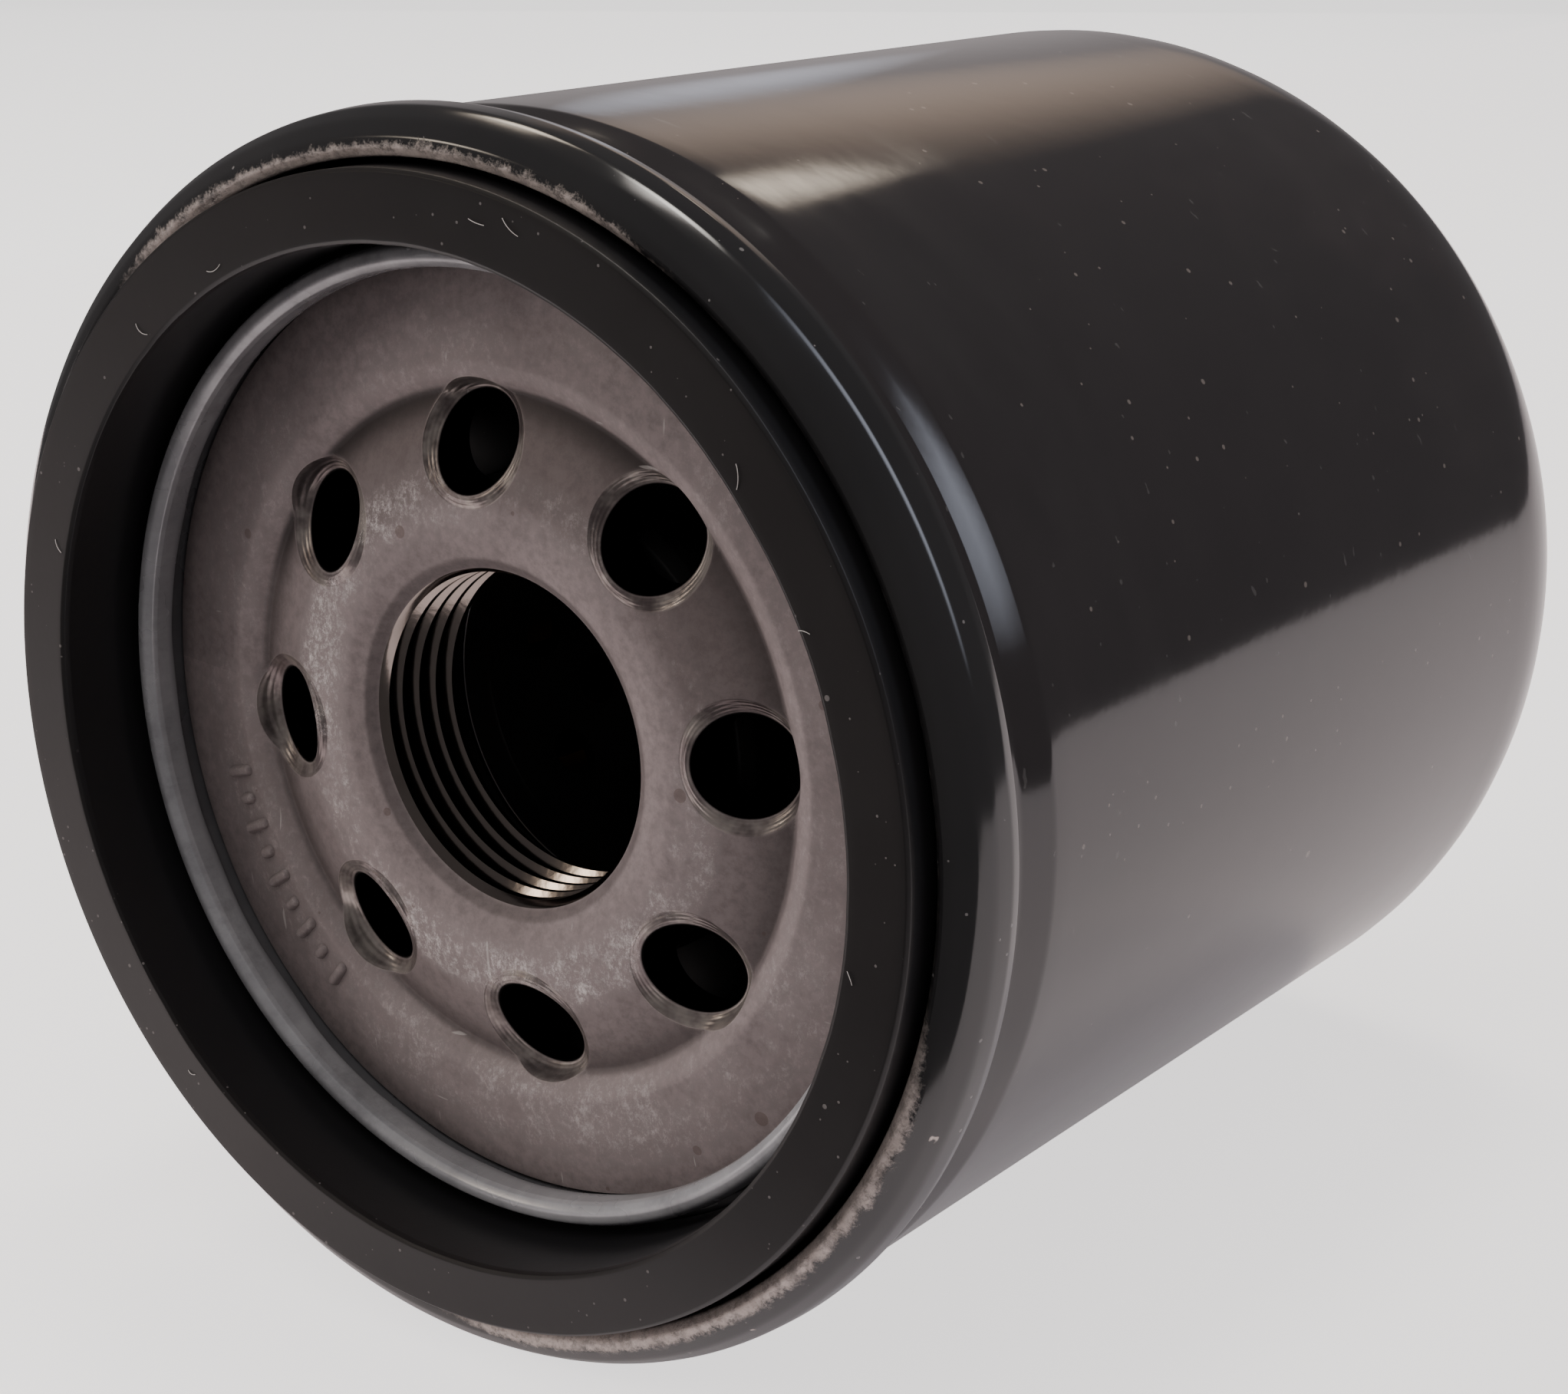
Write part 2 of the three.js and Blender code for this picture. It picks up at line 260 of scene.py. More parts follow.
class Shader:
    """A principled material, with short names for the nodes that drive it."""

    def __init__(self, name, **constants):
        self.material = bpy.data.materials.new(name)
        self.material.use_nodes = True
        self.tree = self.material.node_tree
        self.bsdf = self.tree.nodes["Principled BSDF"]
        self.where = self.node("ShaderNodeTexCoord").outputs["Object"]
        for key, value in constants.items():
            self.bsdf.inputs[key.replace("_", " ")].default_value = value

    def node(self, kind, **settings):
        node = self.tree.nodes.new(kind)
        for key, value in settings.items():
            setattr(node, key, value)
        return node

    def link(self, value, socket):
        feed(self.tree, value, socket)

    def set(self, key, value):
        self.link(value, self.bsdf.inputs[key])

    def math(self, operation, a, b=0.0, clamp=False):
        return math_node(self.tree, operation, a, b, clamp=clamp)

    def times(self, a, b):
        return self.math("MULTIPLY", a, b)

    def plus(self, a, b, clamp=False):
        return self.math("ADD", a, b, clamp)

    def less(self, a, b):
        return self.math("SUBTRACT", a, b)

    def most(self, a, b):
        return self.math("MAXIMUM", a, b)

    def stretch(self, scale):
        node = self.node("ShaderNodeMapping")
        self.link(self.where, node.inputs["Vector"])
        node.inputs["Scale"].default_value = scale
        return node.outputs[0]

    def noise(self, scale, detail=4.0, roughness=0.6, vector=None):
        node = self.node("ShaderNodeTexNoise")
        self.link(vector or self.where, node.inputs["Vector"])
        node.inputs["Scale"].default_value = scale
        node.inputs["Detail"].default_value = detail
        node.inputs["Roughness"].default_value = roughness
        return node.outputs["Fac"]

    def specks(self, scale, size):
        """1 inside sparse round specks of differing size, 0 outside."""
        node = self.node("ShaderNodeTexVoronoi")
        self.link(self.where, node.inputs["Vector"])
        node.inputs["Scale"].default_value = scale
        node.inputs["Randomness"].default_value = 1.0
        pick = self.node("ShaderNodeSeparateColor")
        self.link(node.outputs["Color"], pick.inputs[0])
        radius = self.times(self.math("POWER", pick.outputs[0], 6.0), size)
        return self.math("LESS_THAN", node.outputs["Distance"], radius)

    def band(self, value, low, high):
        """0 below low, 1 above high, and smooth between; the other way round where high is less."""
        node = self.node("ShaderNodeMapRange", interpolation_type="SMOOTHSTEP")
        self.link(value, node.inputs["Value"])
        flipped = high < low
        node.inputs["From Min"].default_value = min(low, high)
        node.inputs["From Max"].default_value = max(low, high)
        node.inputs["To Min"].default_value = 1.0 if flipped else 0.0
        node.inputs["To Max"].default_value = 0.0 if flipped else 1.0
        return node.outputs[0]

    def scaled(self, value, low, high):
        """value, from 0 to 1, spread from low to high."""
        return self.plus(self.times(value, high - low), low)

    def mix(self, factor, a, b):
        node = self.node("ShaderNodeMix", data_type="RGBA")
        self.link(factor, node.inputs["Factor"])
        for value, socket in ((a, node.inputs[6]), (b, node.inputs[7])):
            self.link(value if isinstance(value, bpy.types.NodeSocket) else (*value, 1.0), socket)
        return node.outputs[2]

    def xyz(self):
        node = self.node("ShaderNodeSeparateXYZ")
        self.link(self.where, node.inputs[0])
        return node.outputs

    def radius(self):
        """Distance from the filter's axis, in millimetres."""
        x, _, z = self.xyz()
        squares = self.plus(self.times(x, x), self.times(z, z))
        return self.times(self.math("SQRT", squares), 1 / MM)

    def depth(self):
        return self.times(self.xyz()[1], 1 / MM)

    def angle(self):
        """Degrees round the filter's axis from +X towards +Z, from -180 to 180."""
        x, _, z = self.xyz()
        return self.math("DEGREES", self.math("ARCTAN2", z, x))

    def sector(self, angle, middle, half):
        """1 within half degrees of the middle, falling to 0 over 15 more."""
        return self.band(self.math("ABSOLUTE", self.less(angle, middle)), half + 15, half)

    def hole_distance(self):
        """Distance from the nearest inlet hole's centre, in millimetres, measured on the tilted dish."""
        x, _, z = self.xyz()
        sector = TAU / HOLES
        turn = self.less(self.math("ARCTAN2", z, x), HOLE_PHASE)
        nearest = self.times(self.math("ROUND", self.math("DIVIDE", turn, sector)), sector)
        turn = self.less(turn, nearest)
        r = self.radius()
        out = self.less(self.times(r, self.math("COSINE", turn)), HOLE_RING_R)
        out = self.math("DIVIDE", out, HOLE_TILT)
        side = self.times(r, self.math("SINE", turn))
        squares = self.plus(self.times(out, out), self.times(side, side))
        return self.math("SQRT", squares)

    def bump(self, *layers):
        """Stacks (height, distance in millimetres) layers into one normal."""
        normal = None
        for height, distance in layers:
            node = self.node("ShaderNodeBump")
            node.inputs["Strength"].default_value = 1.0
            node.inputs["Distance"].default_value = distance * MM
            self.link(height, node.inputs["Height"])
            if normal:
                self.link(normal, node.inputs["Normal"])
            normal = node.outputs["Normal"]
        self.set("Normal", normal)


def enamel():
    """Gloss black enamel with faint orange peel, clouding, smears, fine dust and hairline scratches."""
    s = Shader("black_enamel", IOR=1.6)
    cloud = s.noise(38, 5, 0.65)
    haze = s.band(s.noise(9, 6, 0.72, s.stretch((1, 0.7, 1))), 0.5, 0.75)
    smear = s.band(s.noise(16, 6, 0.7, s.stretch((1, 3.5, 1))), 0.52, 0.72)
    dust = s.specks(900, 0.17)
    mote = s.specks(190, 0.07)
    scratch = s.band(s.noise(95, 2, 0.5, s.stretch((1, 14, 9))), 0.735, 0.745)
    color = s.mix(cloud, (0.013, 0.0115, 0.012), (0.026, 0.0225, 0.0225))
    color = s.mix(s.times(haze, 0.6), color, (0.050, 0.042, 0.041))
    color = s.mix(s.times(smear, 0.25), color, (0.03, 0.028, 0.027))
    color = s.mix(s.times(scratch, 0.35), color, (0.10, 0.095, 0.09))
    color = s.mix(s.times(s.most(dust, mote), 0.5), color, (0.20, 0.17, 0.15))
    s.set("Base Color", color)
    rough = s.plus(s.scaled(cloud, 0.07, 0.12), s.times(smear, 0.05))
    s.set("Roughness", s.plus(rough, s.times(haze, 0.04), clamp=True))
    s.bump((s.noise(650, 2, 0.5), 0.004), (s.noise(120, 2, 0.5), 0.012), (mote, 0.01))
    return s.material


def lid_metal():
    """Enamel on the lid's nose; pale ragged metal where paint has rubbed off its crest, which is also a
    painted highlight, strongest in two sectors; a zinc hem, darker towards its lower edge as painted
    shade.
    """
    s = Shader("lid_enamel_worn", IOR=1.6)
    r = s.radius()
    y = s.depth()
    ragged = s.noise(620, 6, 0.85)
    turn = s.angle()
    # The rubbed-off paint on the crest is real; its pale colour, and its greater reach round 98 and -52
    # degrees, are also a painted highlight.
    low = s.sector(turn, -52, 30)
    worn_and_lit = s.most(s.sector(turn, 98, 27), low)
    frayed = s.plus(r, s.times(s.less(ragged, 0.5), 2.4))
    frayed = s.less(frayed, s.plus(s.times(worn_and_lit, 0.65), s.times(low, 0.5)))
    wear_and_highlight = s.times(s.band(r, 35.32, 35.5), s.band(frayed, 35.7, 35.05))
    rubbed = s.scaled(s.band(s.noise(1000, 5, 0.85), 0.38, 0.56), 0.45, 1.0)
    wear_and_highlight = s.times(s.times(wear_and_highlight, s.band(y, 2.6, 2.2)), rubbed)
    wear_and_highlight = s.times(wear_and_highlight, s.scaled(worn_and_lit, 0.15, 1.0))
    chips = s.times(s.band(s.noise(330, 3, 0.6), 0.68, 0.7), s.band(r, 35.3, 35.6))
    wear_and_highlight = s.most(wear_and_highlight, s.times(s.times(chips, worn_and_lit), s.band(y, 3.2, 2.8)))
    # Pale metal of the rubbed crest, partly a painted highlight.
    metal_and_highlight = s.mix(s.noise(700, 5, 0.8), (0.20, 0.155, 0.13), (0.74, 0.65, 0.60))
    hem = s.band(r, 31.2, 30.8)
    brushed = s.noise(160, 6, 0.75, s.stretch((1, 0.25, 1)))
    zinc = s.mix(brushed, (0.15, 0.15, 0.16), (0.48, 0.475, 0.485))
    grimy = s.times(s.band(s.noise(110, 6, 0.75), 0.46, 0.7), 0.4)
    # Random darker patches, and painted shade that darkens the hem towards its lower edge, in the gap
    # above the plate.
    edge = s.band(s.plus(y, s.times(brushed, 0.8)), 7.1, 8.0)
    zinc = s.mix(s.most(grimy, s.times(edge, 0.7)), zinc, (0.05, 0.048, 0.052))
    black = s.mix(s.noise(50, 4, 0.6), (0.009, 0.009, 0.0095), (0.02, 0.019, 0.019))
    color = s.mix(wear_and_highlight, black, metal_and_highlight)
    color = s.mix(hem, color, zinc)
    dust = s.specks(1100, 0.16)
    s.set("Base Color", s.mix(s.times(dust, 0.4), color, (0.3, 0.28, 0.27)))
    metal = s.most(s.times(wear_and_highlight, 0.4), s.times(hem, 0.45))
    s.set("Metallic", metal)
    rough = s.plus(s.scaled(s.noise(90, 4, 0.6), 0.09, 0.16), s.times(metal, 0.33))
    s.set("Roughness", rough)
    s.bump((s.noise(600, 2, 0.5), 0.004), (s.times(wear_and_highlight, ragged), 0.06), (s.noise(70, 2, 0.5), 0.02))
    return s.material


def phosphated_steel():
    """Matt grey pressed steel, mottled, scuffed round the boss and annulus, rubbed at the hole rims, which
    also carry a painted highlight; painted shade in the valley between dish and step, on the dish, over
    the outer annulus and in the hole walls, and a darker ring round the bore.
    """
    s = Shader("phosphated_steel")
    r = s.radius()
    mottle = s.noise(75, 7, 0.65)
    grain = s.noise(1300, 4, 0.75)
    blotch = s.band(s.noise(30, 4, 0.6), 0.42, 0.7)
    curd = s.noise(1300, 6, 0.85)
    drag = s.noise(1500, 5, 0.85, s.stretch((1.2, 1, 0.8)))
    patch = s.band(s.noise(110, 5, 0.75), 0.38, 0.6)
    turn = s.angle()
    left = s.less(1.0, s.sector(turn, 45, 45))
    ring = s.times(s.band(r, 12.2, 14.6), s.band(r, 17.6, 15.8))
    annulus = s.times(s.band(r, 20.9, 22.6), s.band(r, 28.4, 25.2))
    low = s.sector(turn, -72, 40)
    zone = s.times(ring, s.scaled(left, 0.45, 1.0))
    zone = s.plus(zone, s.times(annulus, s.scaled(low, 0.2, 0.45)), clamp=True)
    rubbed = s.band(s.most(curd, drag), 0.46, 0.7)
    scuff = s.times(s.times(zone, patch), rubbed)
    along = s.noise(300, 2, 0.5, s.stretch((5, 1, 0.6)))
    across = s.noise(280, 2, 0.5, s.stretch((0.8, 1, 4.5)))
    hair = s.most(s.band(along, 0.735, 0.76), s.band(across, 0.735, 0.76))
    hair = s.times(hair, s.band(s.noise(40, 2, 0.5), 0.5, 0.56))
    rim = s.hole_distance()
    bevel = s.times(s.band(rim, 3.12, 3.34), s.band(rim, 4.15, 3.95))
    turned = s.math("SINE", s.times(rim, 26.0))
    # Lighter brassy patches on the rims' bevels: partly rubbed metal, partly a painted highlight.
    rim_rub_and_highlight = s.times(bevel, s.band(s.noise(240, 4, 0.7), 0.4, 0.65))
    # Painted shade: the inlet holes' walls are near black.
    wall = s.band(rim, 3.24, 3.12)
    # Painted shade in the valley between the dish and the step, more towards the top, and over the outer
    # annulus towards the lid, more towards the left; also a darker ring round the bore.
    crease_shade = s.times(s.band(r, 18.9, 21.1), s.band(r, 21.7, 21.3))
    crease_shade = s.times(crease_shade, s.band(rim, 3.9, 4.3))
    margin_shade = s.band(s.plus(r, s.times(mottle, 3.0)), 27.6, 30.8)
    collar = s.times(s.band(r, 11.5, 11.2), s.band(r, 10.5, 10.8))
    upper = s.sector(turn, 100, 50)
    west = s.sector(turn, 155, 20)
    crease_shade = s.times(crease_shade, s.scaled(upper, 0.5, 0.9))
    margin_shade = s.most(s.times(margin_shade, 0.5), s.times(s.band(r, 22.4, 24.2), 0.3))
    shade_and_bore_ring = s.most(crease_shade, s.times(margin_shade, s.scaled(west, 0.15, 0.75)))
    shade_and_bore_ring = s.times(s.most(shade_and_bore_ring, s.times(collar, 0.35)), s.scaled(mottle, 0.7, 1.3))
    # Painted shade on the dish's outer slope, stronger and reaching further in towards the top right.
    shade = s.sector(turn, 70, 60)
    dish = s.band(s.plus(r, s.times(shade, 1.6)), 15.4, 17.6)
    dish = s.times(s.times(dish, s.band(r, 21.4, 21.2)), s.scaled(shade, 0.18, 0.45))
    color = s.mix(mottle, (0.13, 0.105, 0.103), (0.37, 0.310, 0.306))
    color = s.mix(s.times(blotch, 0.35), color, (0.15, 0.126, 0.118))
    color = s.mix(s.times(s.band(grain, 0.35, 0.7), 0.45), color, (0.10, 0.082, 0.080))
    color = s.mix(dish, color, (0.07, 0.053, 0.050))
    # Painted shade in the valley and over the outer annulus, and the darker ring round the bore.
    color = s.mix(shade_and_bore_ring, color, (0.032, 0.026, 0.025))
    color = s.mix(s.times(scuff, 0.95), color, (0.64, 0.59, 0.57))
    color = s.mix(s.times(hair, 0.35), color, (0.6, 0.57, 0.54))
    color = s.mix(s.times(rim_rub_and_highlight, 0.75), color, (0.56, 0.50, 0.455))
    # Painted shade in the hole walls.
    color = s.mix(wall, color, (0.004, 0.0037, 0.0037))
    stain = s.specks(420, 0.2)
    s.set("Base Color", s.mix(s.times(stain, 0.45), color, (0.09, 0.055, 0.045)))
    s.set("Metallic", s.most(s.scaled(bevel, 0.42, 0.8), wall))
    rough = s.less(s.scaled(mottle, 0.5, 0.62), s.times(scuff, 0.12))
    s.set("Roughness", s.less(rough, s.times(bevel, 0.24)))
    s.bump(
        (grain, 0.02), (mottle, 0.03), (s.times(scuff, curd), 0.02),
        (s.times(bevel, turned), 0.008),
    )
    return s.material


def burnished(name, low, high, rough=(0.2, 0.4), metallic=1.0):
    """Bright rubbed metal, such as a punched edge, a cut thread or a plated pressing."""
    s = Shader(name)
    mottle = s.noise(160, 6, 0.7)
    fine = s.noise(700, 3, 0.6)
    tarnish = s.band(s.noise(60, 5, 0.7), 0.45, 0.75)
    color = s.mix(mottle, low, high)
    s.set("Base Color", s.mix(s.times(tarnish, 0.4), color, tuple(0.45 * c for c in low)))
    s.set("Metallic", metallic)
    s.set("Roughness", s.scaled(mottle, *rough))
    s.bump((fine, 0.008), (mottle, 0.012))
    return s.material


def rubber(name, low, high, dusty=1.0, wall=None):
    """Matt moulded rubber with bloom, dust and a fine grain; inside the radius wall, painted shade makes
    it near black, with no dust.
    """
    s = Shader(name, IOR=1.5)
    bloom = s.noise(55, 6, 0.7)
    grain = s.noise(1400, 3, 0.6)
    smudge = s.band(s.noise(24, 5, 0.65), 0.45, 0.72)
    dust = s.most(s.specks(640, 0.11), s.specks(1700, 0.19))
    color = s.mix(bloom, low, high)
    color = s.mix(s.times(smudge, 0.3), color, tuple(1.5 * c for c in high))
    color = s.mix(s.times(dust, 0.28 * dusty), color, (0.30, 0.27, 0.26))
    rough = s.scaled(bloom, 0.38, 0.52)
    if wall:
        # Painted shade: inside the wall radius, and deeper than about 0.3 to 0.6 mm, the rubber is near
        # black and shows no dust.
        side = s.most(s.band(s.depth(), 0.3, 0.6), s.band(s.radius(), wall + 0.12, wall - 0.12))
        color = s.mix(side, color, s.mix(bloom, (0.006, 0.006, 0.007), (0.012, 0.0115, 0.012)))
        rough = s.less(rough, s.times(side, 0.12))
    s.set("Base Color", color)
    s.set("Roughness", rough)
    s.bump((grain, 0.006), (bloom, 0.02), (dust, 0.015))
    return s.material


def paper():
    s = Shader("filter_paper")
    fibre = s.noise(800, 6, 0.75, s.stretch((1, 0.35, 1)))
    soak = s.noise(35, 5, 0.6)
    color = s.mix(fibre, (0.45, 0.28, 0.09), (0.68, 0.46, 0.19))
    s.set("Base Color", s.mix(s.times(soak, 0.4), color, (0.36, 0.2, 0.06)))
    s.set("Roughness", s.scaled(fibre, 0.75, 0.95))
    s.bump((fibre, 0.03))
    return s.material


def adhesive():
    s = Shader("potting_adhesive")
    flow = s.noise(90, 4, 0.6)
    s.set("Base Color", s.mix(flow, (0.20, 0.035, 0.025), (0.34, 0.08, 0.05)))
    s.set("Roughness", s.scaled(flow, 0.35, 0.6))
    s.bump((flow, 0.08), (s.specks(500, 0.3), 0.05))
    return s.material


def lint_material():
    s = Shader("lint")
    s.set("Base Color", s.mix(s.noise(900, 2), (0.35, 0.33, 0.31), (0.6, 0.57, 0.54)))
    s.set("Roughness", s.scaled(s.noise(400, 2), 0.7, 0.9))
    return s.material


def table_top(name, glow, low, high):
    """A pale light table, with glow as the strength of its own light."""
    s = Shader(name, Emission_Strength=glow)
    cloud = s.noise(3, 4, 0.5)
    color = s.mix(cloud, low, high)
    s.set("Base Color", color)
    s.set("Emission Color", color)
    s.set("Roughness", s.scaled(s.noise(60, 3, 0.5), 0.5, 0.62))
    s.bump((s.noise(900, 3, 0.6), 0.004))
    return s.material


ENAMEL = enamel()
LID = lid_metal()
PLATE = phosphated_steel()
THREAD = burnished("cut_thread", (0.24, 0.205, 0.185), (0.40, 0.345, 0.31), (0.1, 0.2))
PLATED = burnished("plated_steel", (0.40, 0.39, 0.38), (0.56, 0.55, 0.54), (0.28, 0.45))
SPRING = burnished("spring_wire", (0.22, 0.22, 0.23), (0.38, 0.38, 0.39), (0.25, 0.4))
GASKET = rubber("gasket_rubber", (0.0055, 0.0048, 0.0049), (0.010, 0.0086, 0.0084), 1.0, 31.05)
VALVE = rubber("valve_rubber", (0.006, 0.006, 0.006), (0.012, 0.0115, 0.0115), 0.3)
PAPER = paper()
ADHESIVE = adhesive()
LINT = lint_material()
TABLE = table_top("pale_table", 1.3, (0.80, 0.79, 0.78), (0.86, 0.855, 0.85))
TABLE_MIRRORED = table_top("pale_table_mirrored", 0.27, (0.80, 0.735, 0.735), (0.86, 0.79, 0.795))


# ---------------------------------------- pieces


def ripple(size, scale):
    """A warp that moves the surface in and out by up to size, in smooth patches."""

    def warp(r, y, angle):
        point = Vector((math.cos(angle), y * scale, math.sin(angle))) * 1.7
        return r + size * noise.noise(point), y

    return warp


def canister():
    y0, y1, can_r = span("canister")
    shoulder, crown_r, rise = 71.2, 22.7, 15.1
    outer = [
        (37.2, y0, 0.2), (37.2, 5.9, 0.5), (36.93, 6.7, 0.8), (36.95, 7.7, 1.2), (37.3, 8.75, 1.2),
        (can_r, 9.9, 1.6), (can_r, shoulder, 0),
    ]
    arc = 14
    for i in range(1, arc + 1):
        t = math.pi / 2 * i / arc * 0.93
        outer.append((crown_r + (can_r - crown_r) * math.cos(t), shoulder + rise * math.sin(t), 0))
    outer += [(18, 87.35, 6), (13, y1, 4), (0, y1, 0)]
    inner = [(max(r - SHEET, 0) if r > 24 else r, y - (SHEET if y > 80 else 0), f) for r, y, f in outer]
    profile = outline(outer, 1.5, False) + outline(inner, 3, False)[::-1]
    vertices, faces = lathe_mesh(profile, FINE_STEPS, ripple(0.02, 0.02))
    can = make_object("can_shell", vertices, faces, [ENAMEL])
    place(can, "shell", ["canister"])


def seaming_lid():
    """One sheet: the rolled seam's nose, the groove for the gasket, and the lip folded over the plate."""
    corners = [
        (37.6, 5.7, 0.2), (38.1, 5.75, 0.25), (38.28, 4.8, 1.2), (38.15, 3.4, 1.4), (37.5, 2.3, 1.4),
        (36.6, 1.62, 0.8), (36.0, 1.5, 0.5), (35.4, 1.9, 0.5), (35.34, 2.8, 0.5), (35.34, 9.1, 0.3),
        (30.3, 9.1, 0.3), (30.3, 5.95, 0.5), (29.95, 5.3, 0.6), (29.3, 5.15, 0.5), (28.82, 5.55, 0.25),
        (28.72, 5.9, 0.1), (28.75, 7.3, 0.1), (29.45, 7.3, 0.1), (29.5, 9.7, 0.3), (35.84, 9.7, 0.3),
        (35.84, 3.0, 0.4), (36.2, 2.35, 0.3), (36.8, 2.5, 0.3), (37.3, 3.0, 0.4), (37.6, 4.0, 0.5),
    ]

    def warp(r, y, angle):
        if r < 29.46 and 6.8 < y < 8:
            y += 0.28 * noise.noise(Vector((5 * math.cos(angle), 5 * math.sin(angle), 3)))
            r += 0.1 * noise.noise(Vector((4 * math.cos(angle), 4 * math.sin(angle), 6)))
        if r > 35.9:
            y += 0.03 * noise.noise(Vector((7 * math.cos(angle), 7 * math.sin(angle), 8)))
        return r, y

    lid = lathe("lid_and_seam", corners, [LID], FINE_STEPS, warp, 0.8)
    place(lid, "shell", ["seaming_lid"])


def hole_centres():
    for k in range(HOLES):
        angle = HOLE_PHASE + TAU * k / HOLES
        yield Vector((HOLE_RING_R * math.cos(angle), HOLE_RING_R * math.sin(angle)))


def hole_point(centre, distance, angle):
    """A point at a distance from a hole's centre, measured on the dish that the hole is punched in."""
    out = centre.normalized()
    side = Vector((-out.y, out.x))
    return centre + out * (HOLE_TILT * distance * math.cos(angle)) + side * (distance * math.sin(angle))


def hole_distance(point, centres):
    """Distance from the nearest hole's centre, measured the same way."""
    centre = min(centres, key=lambda c: (point - c).length)
    out = centre.normalized()
    away = point - centre
    radial = away.dot(out)
    return math.hypot(radial / HOLE_TILT, (away - out * radial).length)


def thread_cutter():
    """The V groove of the internal thread as one long helix."""
    inner = THREAD_MINOR_R - 0.3
    root = PITCH / 16
    mouth = root + (THREAD_MAJOR_R - inner) * math.tan(math.pi / 6)
    shoulder = THREAD_MAJOR_R - 0.05
    section = [(inner, -mouth), (shoulder, -root), (THREAD_MAJOR_R, 0), (shoulder, root), (inner, mouth)]
    rings = THREAD_TURNS * SMALL_STEPS + 1
    vertices = []
    for i in range(rings):
        angle = TAU * i / SMALL_STEPS
        y = THREAD_START_Y + PITCH * i / SMALL_STEPS
        vertices += [(r * math.cos(angle), y + dy, r * math.sin(angle)) for r, dy in section]
    return vertices, tube_faces(rings, len(section))


def heights(corners):
    """Depth as a function of radius, from corners given in order of radius."""
    points = outline(corners, 0.1, False)
    radii, depths = [p[0] for p in points], [p[1] for p in points]
    return lambda r: np.interp(r, radii, depths)


